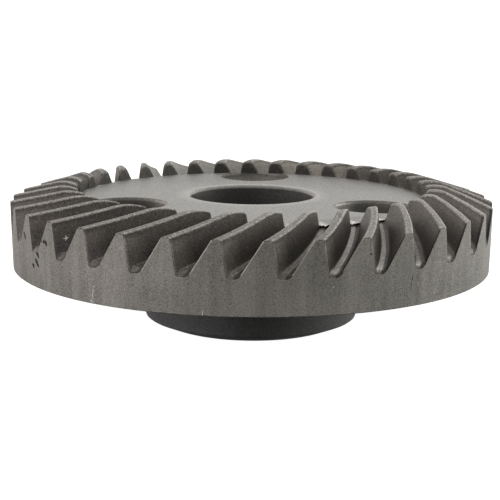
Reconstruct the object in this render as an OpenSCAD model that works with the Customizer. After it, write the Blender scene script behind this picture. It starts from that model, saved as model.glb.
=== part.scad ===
// Spiral bevel gear in one sintered steel piece: a plain rim, curved teeth on the upper side,
// a flat web with a bore and three round pockets, and a plain boss on the back.
// Millimetres, +Z up. The origin is the middle of the boss's lower face and the axis is Z.
// A radius and a height together name a point of the section that is turned about the axis.

/* [Rim] */
// Outside diameter at the top of the plain rim, which cuts the outer ends of the teeth
rim_d = 70; // [68:0.5:76]
// Slope of the rim, which narrows towards the back
rim_draft = 1.2; // [0:0.1:2]
// Height of solid rim from the back face to the bottom of a tooth space
rim_wall_h = 5.25; // [4:0.05:6]
// Size of the small chamfer on the back edge of the rim
rim_edge = 0.15; // [0.1:0.05:0.6]

/* [Teeth] */
// Number of teeth
tooth_count = 35; // [31:1:37]
// Number of teeth on the pinion that runs with this gear, which sets the pitch cone
pinion_teeth = 11; // [9:1:14]
// Tooth height at the rim, measured along the axis
tooth_h = 4.3; // [4:0.1:4.7]
// Slope of the top lands, rising towards the middle
land_slope = 16.9; // [15:0.1:19]
// Width of a tooth space across the corners of its floor at the rim
floor_w = 1.7; // [1.4:0.1:1.8]
// Slope of each flank away from the middle of its tooth space
flank_angle = 23.2; // [21:0.1:23.8]
// Radius where a flank meets the floor at the rim
floor_fillet = 0.5; // [0.2:0.05:0.6]
// Radius of the arc that each tooth follows along its length
trace_r = 34; // [29:0.5:38]
// Angle between a tooth and the radius at the middle of its length
spiral_angle = 39.5; // [35:0.1:43]
// Size of the chamfer where the floor of a tooth space meets the rim
floor_edge = 0.4; // [0.1:0.05:0.5]
// Turn of the tooth spaces about the axis
first_space = 9.2; // [0:0.1:10]

/* [Toes] */
// Diameter of the circle where the teeth end towards the middle
toe_d = 51.1; // [48:0.1:54]
// Distance from the toes out to the crests of the lands
crest_in = 1.7; // [1.2:0.05:3]
// Radius of the rounding of the lands towards their toes
toe_round = 4.5; // [3.8:0.1:5]
// Small rounding of the top corner of a toe
toe_corner = 0.4; // [0.2:0.05:0.5]

/* [Web] */
// Height of the web's flat upper face above the back face
web_h = 9.85; // [9:0.05:10.3]
// Width of the sloping lip between the web's flat upper face and the toes
lip_w = 1.8; // [1:0.1:3]
// Drop of the sloping lip across its width
lip_drop = 0.3; // [0.1:0.05:0.4]
// Step down from the lip to the floor of a tooth space
floor_step = 0.3; // [0.15:0.05:0.5]

/* [Bore and pockets] */
// Diameter of the bore
bore_d = 18; // [16:0.1:20]
// Size of the chamfer at each end of the bore
bore_edge = 0.4; // [0.2:0.1:0.8]
// Number of round pockets in the web
pocket_count = 3; // [2:1:4]
// Diameter of the pockets
pocket_d = 10.8; // [7:0.1:11.2]
// Depth of the pockets below the web's flat upper face
pocket_h = 6; // [2:0.1:7]
// Gap between the pockets and the toes
pocket_gap = 0.35; // [0.3:0.05:3]
// Size of the chamfer at the mouth of each pocket
pocket_edge = 0.2; // [0.1:0.05:0.25]
// Angle of the first pocket about the axis
first_pocket = 88.9; // [0:0.1:119]

/* [Boss] */
// Diameter of the boss on the back
boss_d = 31.4; // [28:0.1:34]
// Height of the boss
boss_h = 8.9; // [6:0.1:12]
// Width of the shallow bevel round the lower face of the boss
bevel_w = 2.6; // [1:0.1:3.5]
// Height of the shallow bevel round the lower face of the boss
bevel_h = 1.1; // [0.5:0.1:2]

/* [Hidden] */
// Sides of a round in the drawn mesh
$fn = 144;
// Radii and heights of the main circles
rim_r = rim_d / 2;
back_r = rim_r - (rim_wall_h + tooth_h) * tan(rim_draft);
heel_r = rim_r - tooth_h * tan(rim_draft);
toe_r = toe_d / 2;
crest_r = toe_r + crest_in;
flat_r = toe_r - lip_w;
bore_r = bore_d / 2;
boss_r = boss_d / 2;
pocket_ring_r = toe_r - pocket_gap - pocket_d / 2;
back_z = boss_h;
web_z = back_z + web_h;
lip_z = web_z - lip_drop;
heel_floor_z = back_z + rim_wall_h;
heel_tip_z = heel_floor_z + tooth_h;
toe_floor_z = lip_z - floor_step;
// Fall of the floor of a tooth space for each millimetre outwards
floor_fall = (toe_floor_z - heel_floor_z) / (rim_r - toe_r);
// Middle of the rounding of the lands, which touches the sloping part of the land
round_end_r = crest_r + toe_round * sin(land_slope);
round_z = heel_tip_z + (rim_r - round_end_r) * tan(land_slope) - toe_round * cos(land_slope);
crest_z = round_z + toe_round;
// Top corner of a toe, and the middle of its small rounding inside the larger one
corner_r = toe_r + toe_corner;
corner_angle = 90 + asin((crest_r - corner_r) / (toe_round - toe_corner));
corner_z = round_z + (toe_round - toe_corner) * sin(corner_angle);
// Lean of the teeth away from the axis, square to the pitch cone
lean = atan(pinion_teeth / tooth_count);
// Distance from the axis to the middle of the arc that a tooth follows
mid_r = (rim_r + toe_r) / 2;
trace_off = sqrt(pow(mid_r, 2) + pow(trace_r, 2) - 2 * mid_r * trace_r * sin(spiral_angle));
// Clearance of a cutting shape past the surface that it opens
past = 0.5;
// Smaller clearance where a cutting shape passes close over the web
web_gap = 0.05;
// Length and fall of the cut that makes the chamfer at the outer end of a tooth space
edge_run = 2 * floor_edge;
// Fillet at the outer end of that cut, where the floor is narrowest
end_fillet = floor_fillet / 3;
// Lengths along a tooth space
space_steps = 6;
// Straight steps in a fillet, in the rounding of a land and in the top corner of a toe
fillet_steps = 2;
round_steps = 6;
corner_steps = 1;

// Height of the floor of a tooth space at a radius
function floor_z(r) = heel_floor_z + (rim_r - r) * floor_fall;

// Height of the lip at a radius, carried on over the web
function lip_height(r) = web_z - lip_drop * (r - flat_r) / lip_w;

// Turn of the tooth trace about the axis at a radius, from its place at the rim
function trace_angle(r) = acos((r * r + trace_off * trace_off - trace_r * trace_r) / (2 * r * trace_off));
function turn(r) = trace_angle(r) - trace_angle(rim_r);

// Height along the tooth from the floor to a little above the land
function open_h(r) = (heel_tip_z + (rim_r - r) * tan(land_slope) - floor_z(r)) / cos(lean) + past;

// Half of the outline of a tooth space at a radius, from the middle of the floor upwards:
// each point is a distance to the side and a height along the tooth. The floor is raised by up.
function half_outline(r, up, fillet) =
    let (
        run = fillet * tan((90 - flank_angle) / 2),
        corner = floor_w / 2 * r / rim_r + up * tan(flank_angle),
        top = open_h(r)
    )
    concat(
        [
            for (i = [0 : fillet_steps])
                let (a = -90 + i * (90 - flank_angle) / fillet_steps)
                [corner - run + fillet * cos(a), up + fillet + fillet * sin(a)]
        ],
        [[corner + (top - up) * tan(flank_angle), top]]
    );

// Whole outline, from the top on one side round the floor to the top on the other
function outline(r, up, fillet) =
    let (half = half_outline(r, up, fillet), last = len(half) - 1)
    concat(
        [for (i = [last : -1 : 0]) [-half[i][0], half[i][1]]],
        half
    );

// Point in space for a side distance and height on the tooth trace at a radius
function placed(r, side, up) =
    let (
        far = r + up * sin(lean),
        a = turn(r) + side / far * 180 / PI
    )
    [far * cos(a), far * sin(a), floor_z(r) + up * cos(lean)];

function placed_outline(r, up, fillet) =
    [for (p = outline(r, up, fillet)) placed(r, p[0], p[1])];

// Fillet at a radius, in step with the width of the floor
function fillet_at(r) = floor_fillet * r / rim_r;

// Raise of the floor that keeps a tooth space clear of the lip
function clear_up(r) = (lip_height(r) - floor_z(r) + web_gap) / cos(lean);

// Outlines along one tooth space, from inside the toes to outside the rim
wall_r = toe_r - clear_up(toe_r) * sin(lean);
inner_r = toe_r - open_h(toe_r) * sin(lean) - past;
edge_r = heel_r - floor_edge;
space_radii = [for (i = [0 : space_steps]) toe_r + (edge_r - toe_r) * i / space_steps];
space_outlines = concat(
    [placed_outline(inner_r, clear_up(inner_r), fillet_at(inner_r))],
    [placed_outline(wall_r, clear_up(wall_r), fillet_at(wall_r))],
    [for (r = space_radii) placed_outline(r, 0, fillet_at(r))],
    [placed_outline(edge_r + edge_run, -edge_run, end_fillet)]
);

// Solid that joins a row of outlines with the same number of points
module lofted(rows) {
    count = len(rows[0]);
    last = len(rows) - 1;
    points = [for (row = rows) each row];
    sides = [
        for (j = [0 : last - 1])
            for (i = [0 : count - 1])
                let (n = (i + 1) % count, a = j * count, b = a + count)
                each [[a + i, b + i, b + n], [a + i, b + n, a + n]]
    ];
    ends = [
        for (i = [1 : count - 2])
            each [[0, i, i + 1], [last * count, last * count + i + 1, last * count + i]]
    ];
    polyhedron(points, concat(sides, ends));
}

// Points along an arc about a middle, from one angle to another
function arc(r, z, radius, from, to, steps) =
    [
        for (i = [0 : steps])
            let (a = from + (to - from) * i / steps)
            [r + radius * cos(a), z + radius * sin(a)]
    ];

// Section of the piece before its cuts, from the axis round the boss and the rim to the web
module section() {
    polygon(concat(
        [
            [0, 0],
            [boss_r - bevel_w, 0],
            [boss_r, bevel_h],
            [boss_r, back_z],
            [back_r - rim_edge, back_z],
            [back_r, back_z + rim_edge],
            [rim_r, heel_tip_z]
        ],
        arc(crest_r, round_z, toe_round, 90 - land_slope, corner_angle, round_steps),
        arc(corner_r, corner_z, toe_corner, (corner_angle + 180) / 2, 180, corner_steps),
        [
            [toe_r, lip_z],
            [flat_r, web_z],
            [0, web_z]
        ]
    ));
}

// One piece: turned section, less its tooth spaces, its bore and its pockets
module bevel_gear() {
    color([0.5, 0.48, 0.46])
    difference() {
        rotate_extrude()
            section();
        for (i = [0 : tooth_count - 1])
            rotate([0, 0, first_space + i * 360 / tooth_count])
                lofted(space_outlines);
        translate([0, 0, -past])
            cylinder(r = bore_r, h = web_z + 2 * past);
        translate([0, 0, web_z - bore_edge])
            cylinder(r1 = bore_r, r2 = bore_r + bore_edge + past, h = bore_edge + past);
        translate([0, 0, -past])
            cylinder(r1 = bore_r + bore_edge + past, r2 = bore_r, h = bore_edge + past);
        for (i = [0 : pocket_count - 1])
            rotate([0, 0, first_pocket + i * 360 / pocket_count])
                translate([pocket_ring_r, 0, web_z])
                    pocket();
    }
}

// Cutting shape of one pocket, with the middle of its mouth at the origin
module pocket() {
    mouth_h = pocket_edge + web_gap;
    translate([0, 0, -pocket_h])
        cylinder(d = pocket_d, h = pocket_h);
    translate([0, 0, -pocket_edge])
        cylinder(d1 = pocket_d, d2 = pocket_d + 2 * mouth_h, h = mouth_h);
}

bevel_gear();
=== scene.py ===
"""Looks of the bevel gear: a finely meshed gear of sintered steel on a pale floor, in soft studio light."""

import math

import bpy
import numpy as np
from mathutils import Matrix, Vector, noise
from mathutils.geometry import delaunay_2d_cdt


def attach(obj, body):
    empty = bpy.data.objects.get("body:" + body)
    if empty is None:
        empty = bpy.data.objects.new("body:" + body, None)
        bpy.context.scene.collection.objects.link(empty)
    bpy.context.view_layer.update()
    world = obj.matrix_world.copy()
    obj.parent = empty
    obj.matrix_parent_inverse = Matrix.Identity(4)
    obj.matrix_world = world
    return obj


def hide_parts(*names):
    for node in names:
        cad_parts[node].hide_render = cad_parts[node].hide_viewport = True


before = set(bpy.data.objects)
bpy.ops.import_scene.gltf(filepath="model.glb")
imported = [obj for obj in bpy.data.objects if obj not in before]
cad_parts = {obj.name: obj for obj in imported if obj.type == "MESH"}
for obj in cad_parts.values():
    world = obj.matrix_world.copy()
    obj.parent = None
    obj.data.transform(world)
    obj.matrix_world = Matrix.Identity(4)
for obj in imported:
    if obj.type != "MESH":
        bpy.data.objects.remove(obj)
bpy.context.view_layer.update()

# Sizes of the gear in millimetres and its angles in radians, the same as in the solid
TEETH = 35
PINION_TEETH = 11
RIM_R = 35.0
RIM_EDGE = 0.15
DRAFT = math.tan(math.radians(1.2))
TOE_R = 25.55
CREST_R = 27.25
FLAT_R = 23.75
TOOTH_H = 4.3
BACK_Z = 8.9
HEEL_FLOOR_Z = BACK_Z + 5.25
HEEL_TIP_Z = HEEL_FLOOR_Z + TOOTH_H
WEB_Z = BACK_Z + 9.85
LIP_DROP = 0.3
LIP_Z = WEB_Z - LIP_DROP
TOE_FLOOR_Z = LIP_Z - 0.3
LAND_SLOPE = math.radians(16.9)
FLOOR_W = 1.7
FLOOR_EDGE = 0.4
FLANK = math.radians(23.2)
TRACE_R = 34.0
SPIRAL = math.radians(39.5)
FIRST_SPACE = math.radians(9.2)
TOE_ROUND = 4.5
TOE_CORNER = 0.4
BORE_R = 9.0
BORE_EDGE = 0.4
POCKETS = [math.radians(88.9 + 120 * i) for i in range(3)]
POCKET_RING_R = 19.8
POCKET_R = 5.4
POCKET_H = 6.0
POCKET_EDGE = 0.2
BOSS_R = 15.7
BEVEL_W = 2.6
BEVEL_H = 1.1
MM_PER_M = 1000

# Places that follow from the sizes
LEAN = math.atan(PINION_TEETH / TEETH)
PITCH = 2 * math.pi / TEETH
FLOOR_FALL = (TOE_FLOOR_Z - HEEL_FLOOR_Z) / (RIM_R - TOE_R)
EDGE_R = RIM_R - TOOTH_H * DRAFT - FLOOR_EDGE
EDGE_RUN = 2 * FLOOR_EDGE
ROUND_END_R = CREST_R + TOE_ROUND * math.sin(LAND_SLOPE)
ROUND_Z = HEEL_TIP_Z + (RIM_R - ROUND_END_R) * math.tan(LAND_SLOPE) - TOE_ROUND * math.cos(LAND_SLOPE)
CORNER_R = TOE_R + TOE_CORNER
CORNER_ANGLE = math.pi / 2 + math.asin((CREST_R - CORNER_R) / (TOE_ROUND - TOE_CORNER))
CORNER_Z = ROUND_Z + (TOE_ROUND - TOE_CORNER) * math.sin(CORNER_ANGLE)
CORNER_END_R = CREST_R + TOE_ROUND * math.cos(CORNER_ANGLE)
MID_R = (RIM_R + TOE_R) / 2
TRACE_OFF = math.sqrt(MID_R**2 + TRACE_R**2 - 2 * MID_R * TRACE_R * math.sin(SPIRAL))
BEVEL_R = BOSS_R - BEVEL_W
POCKET_Z = WEB_Z - POCKET_H

# Small roundings as the photo shows them: land, heel and toe edges, and the feet of the flanks and the boss
LAND_ROUND = 0.22
HEEL_ROUND = 0.13
TOE_EDGE = 0.3
RIGHT_FOOT = 0.95
LEFT_FOOT = 0.35
END_FOOT = 0.7
BOSS_FOOT = 0.4

# Ragged edges: the lower edge of the rim, and the step at the inner end of each tooth space
RIM_FOOT_GAP = 0.04
RIM_FOOT_RAGGED = 0.16
LIP_RAGGED = 0.5
LIP_MIDDLE = 0.55
LIP_TOUCH = 0.05

# Wear of edges: 0 is none and 1 is bright metal; on the burr and the floor ends in front it is partly a
# painted highlight
RIGHT_WEAR = 0.15
LEFT_WEAR = 0.3
FLOOR_WEAR_AND_SHEEN = 0.4
RIM_FOOT_WEAR = 0.25
BURR_WEAR_AND_SHEEN = 0.6
BURR_RAGGED = 2.0

# Direction of the front; a turn is in degrees from it, with the left negative
FRONT = math.radians(265)
BURR_TURN = 25
BURR_FADE = 15
BURR_STEEL_TURN = 28
SHADED_FLOOR_TURN = 70

# Fineness of the mesh: numbers of points, and places of its rows
FILLET_POINTS = 5
FLANK_POINTS = 7
SLOPE_POINTS = 11
CREST_POINTS = 10
TURNED_POINTS = 180
POCKET_POINTS = 72
FLOOR_ROW = 0.6
RIM_LEVEL_Z = HEEL_FLOOR_Z - 1.2
TAPER_STEP = 0.1
HEEL_ANGLES = np.radians([90, 60, 30, 0])
CORNER_ANGLES = np.radians([20, 42, 62, 78, 90])
POCKET_ROWS = (0.5, 1.1, 1.8, 2.6, 3.5, POCKET_H - 0.5)
WEB_RINGS = [(r, 240) for r in (FLAT_R, FLAT_R - 0.3, 22.5, 21.0, 18.5, 16.0, 13.5, 11.5)]
BACK_RINGS = [(34.0, 240), (25.0, 180)]
RING_ROOM = 0.25
LIP_REACH = 0.2
MOUTH_TOUCH = 0.01
SHARP_ANGLE = math.radians(40)

# Kinds of surface, and their order across one tooth pitch, from the middle of a tooth space to the next
ZONES = ["rim", "land", "right_flank", "left_flank", "floor", "toe", "web", "bore", "pocket", "boss"]
RIM, LAND, RIGHT_FLANK, LEFT_FLANK, FLOOR, TOE, WEB, BORE, POCKET, BOSS = range(len(ZONES))
PITCH_ZONES = [FLOOR] + [RIGHT_FLANK] * 11 + [LAND] * 12 + [LEFT_FLANK] * 9 + [FLOOR] * 3
HALF = len(PITCH_ZONES) // 2

# Columns of points on the right edge, the left edge and the floor of each tooth space
COLUMNS = np.arange(len(PITCH_ZONES))
RIGHT_EDGE = np.tile((COLUMNS >= 6) & (COLUMNS <= 13), TEETH).astype(float)
LEFT_EDGE = np.tile((COLUMNS >= 24) & (COLUMNS <= 30), TEETH).astype(float)
FLOOR_COLUMNS = np.tile((COLUMNS <= 2) | (COLUMNS >= 31), TEETH).astype(float)

# Mesh of the gear: points in millimetres with their wear, partly painted sheen, and faces with their kinds of
# surface
points, wear_and_sheen, faces, zones = [], [], [], []


def fade(value, low, high):
    """Smooth step from 0 to 1 between two values."""
    t = np.clip((value - low) / (high - low), 0, 1)
    return t * t * (3 - 2 * t)


def window(value, start, full, drop, end):
    """Smooth rise from 0 to 1, and fall back to 0."""
    return fade(value, start, full) * (1 - fade(value, drop, end))


def hump(value, middle, width):
    """Soft hump of height 1 round a value."""
    return np.exp(-(((value - middle) / width) ** 2))


def turn_of(ang):
    """Turn from the front."""
    return np.degrees(ang - FRONT)


def wrapped(turn):
    """Turn brought between -180 and 180 degrees."""
    return (turn + 180) % 360 - 180


def round_angles(count):
    """Angles of points spread evenly round a circle."""
    return np.arange(count) * 2 * math.pi / count


def ragged(ang, scale, seed):
    """Smooth irregular values from 0 to 1 round the gear."""
    spots = [Vector((math.cos(a) * scale, math.sin(a) * scale, seed)) for a in ang]
    return np.array([0.5 + 0.5 * noise.noise(spot) for spot in spots])


def add_points(x, y, z, worn=0.0):
    """Adds points and returns their numbers."""
    first = len(points)
    points.extend(zip(*np.broadcast_arrays(x, y, z)))
    wear_and_sheen.extend(np.broadcast_to(worn, len(points) - first))
    return list(range(first, len(points)))


def add_ring(r, ang, z, worn=0.0):
    """Adds a ring of points about the axis and returns their numbers."""
    return add_points(r * np.cos(ang), r * np.sin(ang), z, worn)


def band(a, b, zone):
    """Joins two rings; the faces look to the right of the way from a to b, seen along the ring."""
    n = len(a)
    for i in range(n):
        j = (i + 1) % n
        faces.append((a[i], a[j], b[j], b[i]))
        zones.append(zone[i] if isinstance(zone, list) else zone)


def trace(r):
    """Angle of the tooth trace at a radius, from its place at the rim."""

    def at(x):
        return math.acos((x * x + TRACE_OFF**2 - TRACE_R**2) / (2 * x * TRACE_OFF))

    return at(r) - at(RIM_R)


def floor_z(r):
    """Height of the floor of a tooth space at a radius."""
    return HEEL_FLOOR_Z + (RIM_R - r) * FLOOR_FALL


def land_z(r):
    """Height of the lands at a radius: a slope, a crest and a small corner at the toe."""
    if r > ROUND_END_R:
        return HEEL_TIP_Z + (RIM_R - r) * math.tan(LAND_SLOPE)
    if r > CORNER_END_R:
        return ROUND_Z + math.sqrt(TOE_ROUND**2 - (r - CREST_R) ** 2)
    return CORNER_Z + math.sqrt(max(TOE_CORNER**2 - (r - CORNER_R) ** 2, 0))


def web_z(r):
    """Height of the web at a radius: flat, with a lip that slopes down to the toes."""
    return WEB_Z - LIP_DROP * max(r - FLAT_R, 0) / (TOE_R - FLAT_R)


def rim_radius(z):
    """Radius of the tapered rim at a height."""
    return RIM_R - (HEEL_TIP_Z - z) * DRAFT


def half_space(r, foot, worn):
    """Half a tooth space at a radius, from the middle of its floor to the middle of a land.
    A point is an angle of the trace, a distance to the side and a height. The points' wear comes second."""
    low = max(r - EDGE_R, 0)
    t = low / EDGE_RUN
    fillet = foot * (min(r, EDGE_R) / RIM_R * (1 - t) + END_FOOT * t)
    corner = FLOOR_W / 2 * r / RIM_R - low * math.tan(FLANK)
    flat = corner - fillet * math.tan((math.pi / 2 - FLANK) / 2)
    tall = (land_z(r) - floor_z(r)) / (math.cos(LEAN) + FLOOR_FALL * math.sin(LEAN))

    def placed(side, up):
        base = r - up * math.sin(LEAN)
        return np.array([trace(base), side, floor_z(base) + up * math.cos(LEAN)])

    def on_flank(up):
        base = r - up * math.sin(LEAN)
        return placed(FLOOR_W / 2 * base / RIM_R + up * math.tan(FLANK), up)

    rows = [placed(0, -low), placed(FLOOR_ROW * flat, -low)]
    for a in np.linspace(-math.pi / 2, -FLANK, FILLET_POINTS):
        rows.append(placed(flat + fillet * math.cos(a), fillet - low + fillet * math.sin(a)))
    start = fillet - low - fillet * math.sin(FLANK)
    for up in np.linspace(start, tall - LAND_ROUND, FLANK_POINTS)[1:]:
        rows.append(on_flank(up))
    rows_worn = [0] * len(rows)
    below, top = rows[-1], on_flank(tall)
    beside = top + np.array([0, LAND_ROUND, 0])
    for k in (0.25, 0.5, 0.75):
        rows.append((1 - k) ** 2 * below + 2 * k * (1 - k) * top + k * k * beside)
        rows_worn.append(worn)
    middle = np.array([top[0], r * PITCH / 2, top[2]])
    rows += [beside, (beside + middle) / 2, middle]
    rows_worn += [worn / 2, 0, 0]
    return np.array(rows), np.array(rows_worn, float)


def space_ring(r):
    """Angles, heights and wear of the whole toothed ring at one radius."""
    right, right_worn = half_space(r, RIGHT_FOOT, RIGHT_WEAR)
    left, left_worn = half_space(r, LEFT_FOOT, LEFT_WEAR)
    left, left_worn = left[-2:0:-1], left_worn[-2:0:-1]
    middles = FIRST_SPACE + np.arange(TEETH)[:, None] * PITCH
    right_ang = middles + right[:, 0] + right[:, 1] / r
    left_ang = middles + PITCH + left[:, 0] - left[:, 1] / r
    ang = np.hstack([right_ang, left_ang]).ravel()
    z = np.tile(np.append(right[:, 2], left[:, 2]), TEETH)
    worn = np.tile(np.append(right_worn, left_worn), TEETH)
    return ang, z, worn


def heel_ring(inset):
    """Radii, angles, heights and wear of the toothed ring a little inside the tapered rim."""
    r = RIM_R - inset
    ang, z, worn = space_ring(r)
    next_ang, next_z, _ = space_ring(r - TAPER_STEP)
    share = (HEEL_TIP_Z - z) * DRAFT / TAPER_STEP
    return r - share * TAPER_STEP, ang + (next_ang - ang) * share, z + (next_z - z) * share, worn


def outward(r, ang, z):
    """Unit normals of a ring's outline, in its tangent and height."""
    wide = np.append(ang[1:], ang[0] + 2 * math.pi) - np.append(ang[-1] - 2 * math.pi, ang[:-1])
    along, up = wide * r, np.roll(z, -1) - np.roll(z, 1)
    size = np.hypot(along, up)
    return -up / size, along / size


def narrowed(ang, z, by):
    """Angles of a ring with each tooth narrowed above the lip, to round the edges of its toe."""
    rows, high = ang.reshape(TEETH, -1), (z > LIP_Z).reshape(TEETH, -1)
    middle = rows[:, HALF:HALF + 1]
    wide = np.max(np.abs(rows - middle) * high, axis=1, keepdims=True)
    return np.where(high, middle + (rows - middle) * (1 - by / wide), rows).ravel()


def heel_edges():
    """Rings of the rounded heel edges, with a bright burr on the right edges of the spaces in front that is
    partly a painted highlight.
    """
    rings = []
    for a in HEEL_ANGLES:
        r, ang, z, worn = heel_ring(HEEL_ROUND * (1 - math.sin(a)))
        shrink = HEEL_ROUND * (1 - math.cos(a))
        side, up = outward(r, ang, z)
        in_front = fade(BURR_TURN - np.abs(turn_of(ang)), 0, BURR_FADE)
        # Burr in front, partly a painted highlight
        burr_and_sheen = in_front * RIGHT_EDGE * (BURR_WEAR_AND_SHEEN + BURR_RAGGED * ragged(ang, scale=60, seed=5.0))
        ang = ang - shrink * side / r
        z = z - shrink * up
        rings.append((add_ring(r, ang, z, np.maximum(worn, burr_and_sheen)), ang, z))
    return rings


def tooth_lengths():
    """Rings from the heel edges inwards, over the slope and the crest of the lands to the toes."""
    radii = [EDGE_R + TAPER_STEP, EDGE_R]
    radii += list(np.linspace(EDGE_R, ROUND_END_R, SLOPE_POINTS)[1:])
    radii += list(np.linspace(ROUND_END_R, CORNER_R, CREST_POINTS)[1:])
    radii += [TOE_R + TOE_CORNER * (1 - math.sin(a)) for a in CORNER_ANGLES]
    rings = []
    for r in radii:
        ang, z, worn = space_ring(r)
        if r >= EDGE_R:
            # Worn floor ends at the front right, partly a painted highlight
            floor_end = FLOOR_WEAR_AND_SHEEN * window(turn_of(ang), 10, 26, 55, 75) * FLOOR_COLUMNS
            worn = np.maximum(worn, floor_end)
        inner = TOE_R + TOE_EDGE - r
        if inner > 0:
            ang = narrowed(ang, z, (TOE_EDGE - math.sqrt(max(TOE_EDGE**2 - inner**2, 0))) / r)
        rings.append((add_ring(r, ang, z, worn), ang, z))
    return rings


def heel_zone(turn, zone, on_right_edge):
    """Kind of surface on a heel edge: in front, the burr is rim steel and the floor takes the dark flank
    steel as painted shade.
    """
    if on_right_edge and abs(turn) < BURR_STEEL_TURN:
        return RIM
    if zone == FLOOR and -BURR_STEEL_TURN < turn < SHADED_FLOOR_TURN:
        return LEFT_FLANK
    return zone


def toothed_ring():
    """Teeth and tooth spaces, from the rim inwards. Returns their rings."""
    heel_zones = []
    for k in range(TEETH):
        turn = wrapped(turn_of(FIRST_SPACE + k * PITCH))
        heel_zones += [heel_zone(turn, zone, edge) for zone, edge in zip(PITCH_ZONES, RIGHT_EDGE)]
    heels = heel_edges()
    rings = heels + tooth_lengths()
    for k, (a, b) in enumerate(zip(rings[:-1], rings[1:])):
        band(a[0], b[0], heel_zones if k < len(heels) - 1 else PITCH_ZONES * TEETH)
    return rings


def plain_rim(top, ang, z):
    """Plain rim below the heels, with a ragged lower edge. Returns the loop on the back face."""
    foot = BACK_Z + RIM_FOOT_GAP + RIM_FOOT_RAGGED * ragged(ang, scale=90, seed=3.0)
    rows = [z - np.minimum(drop, (z - RIM_LEVEL_Z) * drop) for drop in (0.15, 0.4)]
    rows += [z + (RIM_LEVEL_Z - z) * k for k in (0.4, 0.7, 1.0)]
    rows += [RIM_LEVEL_Z + (foot - RIM_LEVEL_Z) * k for k in (0.34, 0.67, 0.96)]
    walls = [top] + [add_ring(rim_radius(row), ang, row) for row in rows]
    walls.append(add_ring(rim_radius(foot), ang, foot, RIM_FOOT_WEAR))
    for upper, lower in zip(walls[:-1], walls[1:]):
        band(lower, upper, RIM)
    back_loop = add_ring(rim_radius(BACK_Z) - RIM_EDGE, ang, BACK_Z, RIM_FOOT_WEAR)
    band(back_loop, walls[-1], RIM)
    return back_loop


def toe_faces(toe, ang, z):
    """Toe faces and the ragged step at the inner end of each tooth space. Returns the loop on the web."""
    slot = z < LIP_Z - LIP_TOUCH
    uneven = ragged(ang, scale=110, seed=9.0)
    lip_r = TOE_R + np.where(slot, LIP_RAGGED * uneven, 0.0)
    lip_z = LIP_Z + np.where(slot, LIP_RAGGED * (uneven - LIP_MIDDLE), 0.0)
    in_front = 1 - fade(np.sin(ang), -0.3, 0.2)
    lip_loop = add_ring(lip_r, ang, lip_z, np.where(slot, in_front, 0.0))
    middle = add_ring((lip_r + TOE_R) / 2, ang, (z + lip_z) / 2)
    band(toe, middle, TOE)
    band(middle, lip_loop, TOE)
    return lip_loop


def bore_and_boss():
    """Bore and boss, turned from a section with soft corners. Returns the loops at the web and the back.
    A point of the section has its radius, its height, its wear and the kind of surface that ends there."""
    section = [
        (BORE_R + BORE_EDGE, WEB_Z, 0.2, WEB),
        (BORE_R + 0.06, WEB_Z - BORE_EDGE + 0.06, 0.1, WEB),
        (BORE_R, WEB_Z - BORE_EDGE - 0.1, 0.0, BORE),
        (BORE_R, BORE_EDGE + 4, 0.0, BORE),
        (BORE_R, BORE_EDGE, 0.0, BORE),
        (BORE_R + BORE_EDGE, 0.0, 0.3, BOSS),
        (BEVEL_R - 0.15, 0.0, 0.0, BOSS),
        (BEVEL_R, 0.03, 0.3, BOSS),
        (BEVEL_R + 0.2, 0.1, 0.0, BOSS),
        (BOSS_R - 0.25, BEVEL_H - 0.1, 0.0, BOSS),
        (BOSS_R - 0.05, BEVEL_H + 0.05, 0.3, BOSS),
        (BOSS_R, BEVEL_H + 0.25, 0.0, BOSS),
        (BOSS_R, BACK_Z - BOSS_FOOT, 0.0, BOSS),
        (BOSS_R + BOSS_FOOT / 4, BACK_Z - BOSS_FOOT / 4, 0.0, BOSS),
        (BOSS_R + BOSS_FOOT, BACK_Z, 0.0, BOSS),
    ]
    ang = round_angles(TURNED_POINTS)
    loops = [add_ring(r, ang, z, worn) for r, z, worn, _ in section]
    for a, b, (_, _, _, zone) in zip(loops[:-1], loops[1:], section[1:]):
        band(a, b, zone)
    return loops[0], loops[-1]


def pocket(turn):
    """One pocket in the web, with soft corners. Returns its middle and the loop of its mouth."""
    middle_x, middle_y = POCKET_RING_R * math.cos(turn), POCKET_RING_R * math.sin(turn)

    def ring(r, z=None):
        ang = round_angles(POCKET_POINTS)
        x, y = middle_x + r * np.cos(ang), middle_y + r * np.sin(ang)
        return add_points(x, y, [web_z(out) for out in np.hypot(x, y)] if z is None else z)

    rows = [ring(POCKET_R + POCKET_EDGE), ring(POCKET_R + 0.03, WEB_Z - 0.32)]
    rows += [ring(POCKET_R, WEB_Z - drop) for drop in POCKET_ROWS]
    rows += [ring(POCKET_R - 0.15, POCKET_Z + 0.15), ring(POCKET_R - 0.5, POCKET_Z)]
    rows += [ring(POCKET_R / 2, POCKET_Z)]
    for upper, lower in zip(rows[:-1], rows[1:]):
        band(upper, lower, POCKET)
    faces.append(tuple(rows[-1]))
    zones.append(POCKET)
    return middle_x, middle_y, rows[0]


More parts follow.
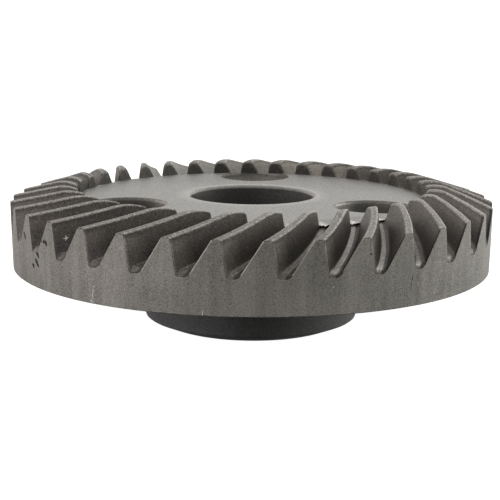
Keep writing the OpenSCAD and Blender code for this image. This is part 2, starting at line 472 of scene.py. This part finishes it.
def fill(loops, rings, height, zone, inside, upward):
    """Fills a region between loops of existing points, with rings of new points in it."""
    flat, ids, edges = [], [], []
    for loop in loops:
        first = len(flat)
        flat += [Vector(points[i][:2]) for i in loop]
        ids += loop
        edges += [(first + i, first + (i + 1) % len(loop)) for i in range(len(loop))]
    for r, count in rings:
        first, kept = len(flat), []
        for k, a in enumerate(round_angles(count)):
            x, y = r * math.cos(a), r * math.sin(a)
            if inside(x, y, RING_ROOM):
                kept.append(k)
                ids += add_points([x], [y], height(math.hypot(x, y)))
                flat.append(Vector((x, y)))
        for n, k in enumerate(kept):
            m = (n + 1) % len(kept)
            if kept[m] == (k + 1) % count:
                edges.append((first + n, first + m))
    made, _, triangles, came, _, _ = delaunay_2d_cdt(flat, edges, [], 1, 1e-6)
    for triangle in triangles:
        x, y = sum((made[i] for i in triangle), Vector((0, 0))) / len(triangle)
        if inside(x, y, 0.0):
            face = [ids[came[i][0]] for i in triangle]
            faces.append(tuple(face if upward else face[::-1]))
            zones.append(zone)


def back_face(back_loop, boss_loop):
    """Flat back face between the rim and the boss."""

    def inside(x, y, _):
        return BOSS_R + BOSS_FOOT < math.hypot(x, y) < RIM_R

    fill([back_loop, boss_loop], BACK_RINGS, lambda r: BACK_Z, BOSS, inside, False)


def web(lip_loop, bore_loop, mouths):
    """Web between the toes, the bore and the mouths of the pockets."""
    mouth_r = POCKET_R + POCKET_EDGE - MOUTH_TOUCH

    def inside(x, y, room):
        if not BORE_R + BORE_EDGE + room < math.hypot(x, y) < TOE_R + LIP_REACH:
            return False
        return all(math.hypot(x - mx, y - my) > mouth_r + room for mx, my, _ in mouths)

    fill([lip_loop, bore_loop] + [loop for _, _, loop in mouths], WEB_RINGS, web_z, WEB, inside, True)


# Whole mesh of the gear, from the toothed ring to the web
rings = toothed_ring()
back_loop = plain_rim(*rings[0])
lip_loop = toe_faces(*rings[-1])
bore_loop, boss_loop = bore_and_boss()
back_face(back_loop, boss_loop)
web(lip_loop, bore_loop, [pocket(turn) for turn in POCKETS])


class Spots:
    """Where the points of the mesh are: place, radius, turn, share of the tooth height, far side, toe end."""

    def __init__(self, place):
        self.x, self.y, self.up = place.T
        self.out = np.hypot(self.x, self.y)
        self.turn = wrapped(turn_of(np.arctan2(self.y, self.x)))
        low = floor_z(self.out)
        high = np.array([land_z(max(r, TOE_R)) for r in self.out])
        self.share = (self.up - low) / (high - low)
        self.far = fade(self.y, 6.0, 20.0)
        self.toe_end = (1 - fade(self.out, 25.6, 26.8)) * (1 - self.far)


def rim_painted_light_and_shade(at):
    """Painted light and shade: slightly lighter and darker stretches in front, and a lighter left end."""
    lighter = 0.13 * hump(at.turn, -22.0, 10.0) + 0.12 * hump(at.turn, 26.0, 9.0)
    darker = 0.07 * hump(at.turn, 9.0, 8.0) + 0.12 * hump(at.turn, -53.0, 8.0)
    return 1 + lighter - darker + 0.2 * fade(-at.turn, 64.0, 80.0)


def right_flank_painted_light_and_shade(at):
    """Painted light and shade: lighter at the far side and towards the lands, and painted shade at the foot
    in front.
    """
    far = 0.4 - 0.4 * fade(at.x, 14.0, 20.0) + 1.1 * window(at.x, 0.0, 8.0, 13.0, 19.0)
    upper = 0.95 + 0.5 * fade(at.share, 0.6, 1.0)
    foot = (1 - fade(at.share, 0.0, 0.35)) * window(at.turn, -20.0, 0.0, 40.0, 60.0)
    return (1 + far * at.far + 0.5 * fade(at.x, 26.0, 33.0)) * upper * (1 - 0.55 * foot)


def left_flank_painted_light_and_shade(at):
    """Painted light and shade: lighter towards the lands, at the heels and at the left, and darker at the
    toes.
    """
    upper = 0.65 + 0.55 * fade(at.share, 0.15, 1.0)
    heel = fade(at.out, 32.3, 34.7) * fade(at.turn, -50.0, -25.0)
    left = 1 - fade(at.turn, -65.0, -42.0)
    left_heel = (1 - fade(at.turn, -57.0, -50.0)) * fade(at.out, 31.5, 33.5)
    left_foot = 1 - fade(at.share, 0.1, 0.7)
    return upper * (1 + heel + 0.5 * left) + left_heel * (0.3 + 0.9 * left_foot) - 0.35 * at.toe_end


def land_painted_shade(at):
    """Painted shade: darker at the near left and at the toes."""
    left = 1 - fade(at.turn, -45.0, -15.0)
    return 1 - 0.22 * left * (1 - at.far) - 0.25 * at.toe_end


def floor_painted_light_and_shade(at):
    """Painted light and shade: darker in front, with ends at the rim that are lighter at the left."""
    inside = 1 - 0.5 * window(at.turn, -45.0, -25.0, 14.0, 30.0)
    end = fade(at.out, 34.3, 34.5) * (1 - fade(at.turn, 0.0, 15.0))
    return inside * (1 - end) + (1.2 - 0.65 * fade(at.turn, -55.0, -40.0)) * end


def boss_painted_light_and_shade(at):
    """Painted light and shade: darker in front, lighter to the right of it."""
    return 1 - 0.22 * hump(at.turn, 5.0, 14.0) + 0.22 * hump(at.turn, 33.0, 12.0)


def bore_painted_light_and_shade(at):
    """Painted light and shade: lighter at both sides."""
    return 0.75 + 0.6 * fade(np.abs(at.x), 3.0, 8.5)


def pocket_painted_light_and_shade(at):
    """Painted light and shade: lighter near the mouths, on the far wall of the far pocket and the inner walls
    of the near ones.
    """
    right = fade(at.x, 0.0, 8.0)
    mouth = fade(at.up, WEB_Z - 3.5, WEB_Z - 1.8)
    edge = fade(at.up, WEB_Z - 1.0, WEB_Z - 0.3)
    far_wall = (1.8 - 1.9 * edge) * mouth * fade(at.y, 19.0, 22.0)
    inner_wall = (1 - fade(np.abs(at.x), 12.3, 15.5)) * (1 - at.far) * mouth * fade(at.y, -12.0, -9.0)
    return 0.85 + 0.25 * right + (0.2 + far_wall) * at.far + (1.9 + 0.8 * right) * inner_wall


def web_painted_shade(at):
    """Painted shade: darker at the far side, to both sides and along the toes, with a dark far edge of the
    bore.
    """
    right = 0.12 * fade(at.x, 0.0, 8.0)
    far = 0.3 * fade(at.y, 4.0, 17.0)
    sides = 0.2 * (fade(at.x, 9.0, 17.0) + fade(-at.x, 15.0, 22.0)) * fade(at.y, 0.0, 8.0)
    toes = 0.38 * fade(at.out, 20.5, 25.0) * fade(at.y, -6.0, 2.0)
    near_toes = 0.4 * fade(at.out, 22.5, 24.5) * window(at.turn, 20.0, 32.0, 65.0, 80.0)
    bore_edge = 0.6 * fade(WEB_Z - at.up, 0.1, 0.3) * (1 - fade(at.out, 9.3, 9.5)) * fade(at.y, 2.0, 7.0)
    return (1 - right) * (1 - far) * (1 - sides) * (1 - toes) * (1 - near_toes) * (1 - bore_edge)


def toe_painted_light(at):
    """Painted light: lighter at the far left."""
    return 1 + 0.9 * fade(-at.x, 5.0, 16.0) * at.far


# Painted light and shade by which colours are multiplied; points that two kinds of surface share take the
# later one's
PAINTED_LIGHT_AND_SHADE_BY_ZONE = {
    RIM: rim_painted_light_and_shade,
    RIGHT_FLANK: right_flank_painted_light_and_shade,
    LEFT_FLANK: left_flank_painted_light_and_shade,
    LAND: land_painted_shade,
    FLOOR: floor_painted_light_and_shade,
    BOSS: boss_painted_light_and_shade,
    BORE: bore_painted_light_and_shade,
    POCKET: pocket_painted_light_and_shade,
    WEB: web_painted_shade,
    TOE: toe_painted_light,
}


def painted_light_and_shade_of_points(place):
    """Painted light and shade of all points, with painted shade on the right heel edges at the front right
    and a painted highlight on the left ones in front.
    """
    painted_light_and_shade, at = np.ones(len(place)), Spots(place)
    for zone, zone_painted_light_and_shade in PAINTED_LIGHT_AND_SHADE_BY_ZONE.items():
        ids = np.unique([i for face, kind in zip(faces, zones) if kind == zone for i in face])
        painted_light_and_shade[ids] = zone_painted_light_and_shade(at)[ids]
    # Painted shade on the right heel edges at the front right
    for ids, ang, _ in rings[1:5]:
        painted_light_and_shade[ids] *= 1 - 0.7 * RIGHT_EDGE * window(turn_of(ang), 22, 36, 80, 95)
    # Painted highlight on the left heel edges in front
    for ids, ang, _ in rings[1:3]:
        painted_light_and_shade[ids] *= 1 + LEFT_EDGE * fade(turn_of(ang), -45, -25)
    return painted_light_and_shade


# Blender's object of the gear, in metres
place = np.array(points)
mesh = bpy.data.meshes.new("gear")
mesh.from_pydata((place / MM_PER_M).tolist(), [], faces)
mesh.polygons.foreach_set("material_index", zones)
mesh.polygons.foreach_set("use_smooth", [True] * len(faces))
# Wear of each point, with a painted highlight on the burr and floor ends in front
mesh.attributes.new("wear_and_sheen", "FLOAT", "POINT").data.foreach_set("value", wear_and_sheen)
# Painted light and shade of each point, by which the steel multiplies its colour
mesh.attributes.new("painted_light_and_shade", "FLOAT", "POINT").data.foreach_set("value", painted_light_and_shade_of_points(place))
mesh.set_sharp_from_angle(angle=SHARP_ANGLE)
gear = bpy.data.objects.new("gear", mesh)
bpy.context.scene.collection.objects.link(gear)

# Steel: noise cells for each metre, flecks finer than the grain, and its relief in metres
PATCH_GRAIN = 700.0
BROAD_GRAIN = 110.0
FLECK_FINER = 1.7
RELIEF = 0.00006
METALLIC = 0.65

# Marks: noise cells for each metre and shift of their outlines in metres, and half depth in millimetres
MARK_GRAIN = 2200.0
MARK_SHIFT = 0.0005
MARK_DEPTH = 2

# Colours of worn edges with some painted sheen, flecks, pits, and of nicks and the painted glint
WORN_AND_SHEEN = (0.72, 0.7, 0.67)
FLECK = (0.62, 0.6, 0.58)
PIT = (0.02, 0.018, 0.017)
NICK_AND_GLINT = (0.8, 0.78, 0.75)


class Nodes:
    """Short ways to add nodes to a node tree."""

    def __init__(self, tree):
        self.tree = tree

    def put(self, socket, value):
        """Links a socket to another node's output, or sets its own value."""
        if isinstance(value, bpy.types.NodeSocket):
            self.tree.links.new(value, socket)
        else:
            socket.default_value = value

    def add(self, kind, inputs=(), **settings):
        """Adds a node with its settings and inputs."""
        made = self.tree.nodes.new(kind)
        for key, value in settings.items():
            setattr(made, key, value)
        for key, value in dict(inputs).items():
            self.put(made.inputs[key], value)
        return made

    def cloud(self, vector, scale, detail):
        """Cloudy noise."""
        inputs = {"Vector": vector, "Scale": scale, "Detail": detail, "Roughness": 0.6}
        return self.add("ShaderNodeTexNoise", inputs).outputs["Fac"]

    def stretch(self, value, low, high, to_low=0.0, to_high=1.0, **settings):
        """Maps one range of values to another."""
        inputs = {"Value": value, "From Min": low, "From Max": high, "To Min": to_low, "To Max": to_high}
        return self.add("ShaderNodeMapRange", inputs, **settings).outputs["Result"]

    def sum(self, a, b):
        return self.add("ShaderNodeMath", {0: a, 1: b}, operation="ADD").outputs[0]

    def difference(self, a, b):
        return self.add("ShaderNodeMath", {0: a, 1: b}, operation="SUBTRACT").outputs[0]

    def product(self, a, b):
        return self.add("ShaderNodeMath", {0: a, 1: b}, operation="MULTIPLY").outputs[0]

    def larger(self, a, b):
        return self.add("ShaderNodeMath", {0: a, 1: b}, operation="MAXIMUM").outputs[0]

    def scaled(self, vector, scale):
        inputs = {0: vector, "Scale": scale}
        return self.add("ShaderNodeVectorMath", inputs, operation="SCALE").outputs["Vector"]

    def mix(self, share, a, b):
        """Colour between two colours."""
        a, b = (v if isinstance(v, bpy.types.NodeSocket) else (*v, 1.0) for v in (a, b))
        return self.add("ShaderNodeMix", {0: share, 6: a, 7: b}, data_type="RGBA").outputs[2]

    def uneven(self, vector):
        """Places shifted a little, for uneven outlines."""
        inputs = {"Vector": vector, "Scale": MARK_GRAIN, "Detail": 2.0}
        colour = self.add("ShaderNodeTexNoise", inputs).outputs["Color"]
        inputs = {0: colour, 1: (0.5, 0.5, 0.5)}
        shift = self.add("ShaderNodeVectorMath", inputs, operation="SUBTRACT").outputs["Vector"]
        inputs = {0: vector, 1: self.scaled(shift, MARK_SHIFT)}
        return self.add("ShaderNodeVectorMath", inputs, operation="ADD").outputs["Vector"]

    def marks(self, vector, group):
        """Closeness to the nearest mark of a group: 1 in its middle and 0 outside it."""
        found, vector = None, self.uneven(vector)
        for spot, turn, sizes, lean in group:
            inputs = {
                "Vector": vector,
                "Location": [v / MM_PER_M for v in spot],
                "Rotation": (lean, 0, turn),
                "Scale": [v / MM_PER_M for v in sizes],
            }
            at = self.add("ShaderNodeMapping", inputs, vector_type="TEXTURE").outputs["Vector"]
            ball = self.add("ShaderNodeTexGradient", {"Vector": at}, gradient_type="SPHERICAL")
            share = ball.outputs["Fac"]
            found = share if found is None else self.larger(found, share)
        return found


def steel(name, dark, light, rough, grain=2600, brush=1.0, bump=0.3, fleck=0.5, pits=(), nicks_and_glints=()):
    """Sintered steel: grainy colour between two scaled by painted light and shade, cloudy patches, bright
    flecks, worn edges with some painted sheen, and marks that include a painted glint.
    """
    mat = bpy.data.materials.new(name)
    mat.use_nodes = True
    mat.node_tree.nodes.clear()
    nodes = Nodes(mat.node_tree)
    coord = nodes.add("ShaderNodeTexCoord").outputs["Object"]
    drawn = nodes.add("ShaderNodeMapping", {"Vector": coord, "Scale": (1.0, 1.0, brush)}).outputs["Vector"]
    fine = nodes.stretch(nodes.cloud(coord, grain, 2.0), 0.35, 0.65)
    patch = nodes.stretch(nodes.cloud(drawn, PATCH_GRAIN, 3.0), 0.3, 0.7)
    broad = nodes.stretch(nodes.cloud(coord, BROAD_GRAIN, 4.0), 0.3, 0.7)
    share = nodes.sum(nodes.product(fine, 0.5), nodes.product(patch, 0.25))
    share = nodes.sum(share, nodes.product(broad, 0.25))
    # Colour multiplied by the painted light and shade of the mesh's points
    painted_light_and_shade = nodes.add("ShaderNodeAttribute", attribute_name="painted_light_and_shade").outputs["Fac"]
    colour = nodes.scaled(nodes.mix(share, dark, light), painted_light_and_shade)
    # Worn edges go towards bright metal, partly a painted highlight on the burr and floor ends in front
    worn = nodes.add("ShaderNodeAttribute", attribute_name="wear_and_sheen").outputs["Fac"]
    worn = nodes.product(worn, nodes.stretch(fine, 0.2, 0.8, 0.25, 0.6))
    colour = nodes.mix(worn, colour, WORN_AND_SHEEN)
    spark = nodes.stretch(nodes.cloud(coord, grain * FLECK_FINER, 0.0), 0.66, 0.74, 0.0, fleck)
    colour = nodes.mix(spark, colour, FLECK)
    relief = nodes.cloud(coord, grain, 3.0)
    # Pits and stains darken the colour; nicks and the painted glint brighten it
    for group, shade in ((pits, PIT), (nicks_and_glints, NICK_AND_GLINT)):
        if group:
            marked = nodes.marks(coord, group)
            colour = nodes.mix(nodes.stretch(marked, 0.1, 0.4), colour, shade)
            relief = nodes.difference(relief, marked)
    inputs = {"Strength": bump, "Distance": RELIEF, "Height": relief}
    normal = nodes.add("ShaderNodeBump", inputs).outputs["Normal"]
    gloss = nodes.stretch(fine, 0.0, 1.0, rough + 0.08, rough - 0.1)
    gloss = nodes.difference(gloss, nodes.product(worn, 0.3))
    inputs = {"Base Color": colour, "Metallic": METALLIC, "Roughness": gloss, "Normal": normal}
    shader = nodes.add("ShaderNodeBsdfPrincipled", inputs)
    nodes.add("ShaderNodeOutputMaterial", {"Surface": shader.outputs["BSDF"]})
    return mat


def rim_mark(angle, z, half_width, half_length, lean):
    """A mark on the rim, from its angle and height: place, turn, half sizes and lean."""
    turn, r = math.radians(angle), rim_radius(z)
    spot = (r * math.cos(turn), r * math.sin(turn), z)
    return spot, turn, (MARK_DEPTH, half_width, half_length), math.radians(lean)


# Marks on the rim: angle in degrees, height, half width and half length in millimetres, lean in degrees
PITS = [
    (-150.7, 15.7, 0.32, 0.4, 45), (-150.2, 15.3, 0.32, 0.44, 30), (-142.0, 15.7, 0.34, 0.46, 33),
    (-140.8, 15.55, 0.36, 0.28, 0), (-139.8, 15.45, 0.34, 0.54, 33), (-143.9, 13.6, 0.38, 0.85, 40),
    (-144.2, 12.4, 0.4, 1.05, 42), (-146.1, 11.8, 0.38, 0.52, 22), (-65.2, 16.3, 0.12, 0.12, 0),
    (-58.1, 16.0, 0.12, 0.12, 0), (-54.6, 12.1, 0.08, 1.5, -8),
]
NICKS = [
    (-124.9, 10.2, 0.1, 0.95, -8), (-124.5, 11.2, 0.12, 0.16, 0), (-125.2, 9.3, 0.12, 0.22, 60),
    (-73.2, 12.6, 0.13, 0.13, 0), (-99.7, 9.3, 0.07, 0.5, -20),
]

# A painted glint on a left tooth and stains on the web: place, turn, half sizes and lean
GLINT = [((-23.9, -24.0, 16.5), 0, (0.42, 1, 0.08), 0), ((-23.9, -24.0, 16.5), 0, (0.08, 1, 0.5), 0)]
WEB_STAINS = [((14.0, 8.5, WEB_Z), 0, (0.5, 0.25, 1), 0), ((16.8, 6.6, WEB_Z), 0, (0.6, 0.25, 1), 0)]

# Steel of each kind of surface
LOOKS = {
    "rim": dict(
        dark=(0.14, 0.134, 0.124), light=(0.59, 0.565, 0.527), rough=0.55, grain=5600, brush=0.1, bump=0.6,
        fleck=0.15, pits=[rim_mark(*mark) for mark in PITS], nicks_and_glints=[rim_mark(*mark) for mark in NICKS],
    ),
    "land": dict(
        dark=(0.042, 0.0372, 0.0332), light=(0.115, 0.1035, 0.0945), rough=0.5, grain=3800, bump=0.6,
        fleck=0.4,
    ),
    "right_flank": dict(
        dark=(0.036, 0.032, 0.0276), light=(0.084, 0.0752, 0.0665), rough=0.55, grain=4600, bump=0.4,
        fleck=0.06,
    ),
    "left_flank": dict(
        dark=(0.047, 0.043, 0.039), light=(0.135, 0.121, 0.112), rough=0.55, grain=3800, bump=0.4,
        fleck=0.15, nicks_and_glints=GLINT,
    ),
    "floor": dict(
        dark=(0.09, 0.082, 0.076), light=(0.2, 0.184, 0.172), rough=0.5, grain=3400, bump=0.4, fleck=0.2,
    ),
    "toe": dict(dark=(0.038, 0.035, 0.032), light=(0.087, 0.081, 0.075), rough=0.55, bump=0.4, fleck=0.03),
    "web": dict(
        dark=(0.107, 0.104, 0.0995), light=(0.149, 0.1455, 0.139), rough=0.5, grain=4200, bump=0.12,
        fleck=0.03, pits=WEB_STAINS,
    ),
    "bore": dict(
        dark=(0.028, 0.027, 0.026), light=(0.056, 0.054, 0.051), rough=0.45, brush=0.3, bump=0.2, fleck=0.01,
    ),
    "pocket": dict(dark=(0.08, 0.076, 0.072), light=(0.15, 0.142, 0.133), rough=0.5, bump=0.2, fleck=0.03),
    "boss": dict(
        dark=(0.155, 0.155, 0.158), light=(0.305, 0.305, 0.31), rough=0.5, grain=3400, brush=0.3, bump=0.2,
        fleck=0.08,
    ),
}

for zone in ZONES:
    mesh.materials.append(steel(zone + "_steel", **LOOKS[zone]))
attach(gear, "root")
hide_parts("bevel_gear")


def stage_piece(name, verts, polys, glow):
    """A pale piece of the studio that only the camera sees."""
    piece_mesh = bpy.data.meshes.new(name)
    piece_mesh.from_pydata(verts, [], polys)
    piece = bpy.data.objects.new(name, piece_mesh)
    bpy.context.scene.collection.objects.link(piece)
    pale = bpy.data.materials.new("pale_" + name)
    pale.use_nodes = True
    paint = pale.node_tree.nodes["Principled BSDF"]
    paint.inputs["Base Color"].default_value = (0.3, 0.3, 0.3, 1)
    paint.inputs["Roughness"].default_value = 0.9
    paint.inputs["Specular IOR Level"].default_value = 0.0
    paint.inputs["Emission Color"].default_value = (1, 1, 1, 1)
    paint.inputs["Emission Strength"].default_value = glow
    piece_mesh.materials.append(pale)
    piece.visible_diffuse = False
    piece.visible_glossy = False
    piece.visible_shadow = False


# Pale round floor, with a pale wall round it, in metres
STAGE_R = 8
STAGE_H = 5
SIDES = 64
circle = [(STAGE_R * math.cos(a), STAGE_R * math.sin(a)) for a in round_angles(SIDES)]
wall_points = [(x, y, z) for z in (0, STAGE_H) for x, y in circle]
wall_faces = [((i + 1) % SIDES, i, SIDES + i, SIDES + (i + 1) % SIDES) for i in range(SIDES)]
stage_piece("floor", [(x, y, 0) for x, y in circle], [tuple(range(SIDES))], glow=0.98)
stage_piece("wall", wall_points, wall_faces, glow=1.2)

# Soft light of the sky: its direction, the cosines where it starts and is full, and its strength
SKY_LIGHTS = {
    "left": ((-1, 0, 0), -0.1, 0.7, 0.89),
    "right": ((1, 0, 0), -0.1, 0.9, 0.3),
    "right_back": ((0.77, 0.64, 0), 0.3, 0.95, 1.2),
    "back": ((0, 1, 0), -0.1, 0.8, 0.58),
    "top": ((0, 0, 1), 0.0, 0.9, 1.25),
}
GROUND_LIGHT = 0.1
LEFT_TINT = (1.0, 0.965, 0.945)
RIGHT_TINT = (0.995, 1.0, 0.96)


def studio_sky():
    """Soft light from above, behind and both sides, with the camera's side and the ground left dark."""
    world = bpy.data.worlds.new("studio")
    bpy.context.scene.world = world
    world.use_nodes = True
    nodes = Nodes(world.node_tree)
    direction = nodes.add("ShaderNodeTexCoord").outputs["Generated"]

    def toward(aim, low, high, to_low, to_high):
        inputs = {0: direction, 1: aim}
        cosine = nodes.add("ShaderNodeVectorMath", inputs, operation="DOT_PRODUCT").outputs["Value"]
        return nodes.stretch(cosine, low, high, to_low, to_high, interpolation_type="SMOOTHSTEP")

    glow = None
    for aim, low, high, strength in SKY_LIGHTS.values():
        light = toward(aim, low, high, 0.0, strength)
        glow = light if glow is None else nodes.sum(glow, light)
    glow = nodes.product(glow, toward((0, 0, 1), -0.25, 0.0, GROUND_LIGHT, 1.0))
    sky = world.node_tree.nodes["Background"]
    nodes.put(sky.inputs["Strength"], glow)
    nodes.put(sky.inputs["Color"], nodes.mix(toward((1, 0, 0), -0.6, 0.6, 0.0, 1.0), LEFT_TINT, RIGHT_TINT))


def lamp(name, spot, aim, size, watts):
    """A round lamp that looks at a place."""
    data = bpy.data.lights.new(name, "AREA")
    data.shape = "DISK"
    data.size = size
    data.energy = watts
    made = bpy.data.objects.new(name, data)
    made.location = spot
    made.rotation_euler = (Vector(aim) - Vector(spot)).to_track_quat("-Z", "Y").to_euler()
    bpy.context.scene.collection.objects.link(made)


studio_sky()
lamp("top", spot=(-0.05, 0.1, 0.5), aim=(0, 0, 0.015), size=0.3, watts=0.2)

# Camera as in the photo: lens in pixels, base in millimetres, distances in rim radii, angles in radians
IMAGE_W = 500
SENSOR_W = 36
FOCUS = 1225.57
CAMERA_BASE_Z = 9.0
CAMERA_UP = 1.0536
CAMERA_FAR = 5.1094
DOWN = 0.195928
ROLL = 0.0098497
PAN = -0.0010617


def photo_camera():
    """Camera that sees the gear as the photo does."""
    ahead = Vector((math.sin(PAN) * math.cos(DOWN), math.cos(PAN) * math.cos(DOWN), -math.sin(DOWN)))
    level_right = Vector((math.cos(PAN), -math.sin(PAN), 0))
    right = level_right * math.cos(ROLL) + level_right.cross(ahead) * math.sin(ROLL)
    above = right.cross(ahead)
    lens = bpy.data.cameras.new("camera")
    lens.sensor_width = SENSOR_W
    lens.lens = FOCUS / IMAGE_W * SENSOR_W
    lens.clip_start = 0.01
    lens.clip_end = 50
    camera = bpy.data.objects.new("camera", lens)
    pose = Matrix((right, above, -ahead)).transposed().to_4x4()
    pose.translation = Vector((0, -CAMERA_FAR * RIM_R, CAMERA_BASE_Z + CAMERA_UP * RIM_R)) / MM_PER_M
    camera.matrix_world = pose
    bpy.context.scene.collection.objects.link(camera)
    bpy.context.scene.camera = camera


photo_camera()
bpy.context.scene.view_settings.view_transform = "Standard"
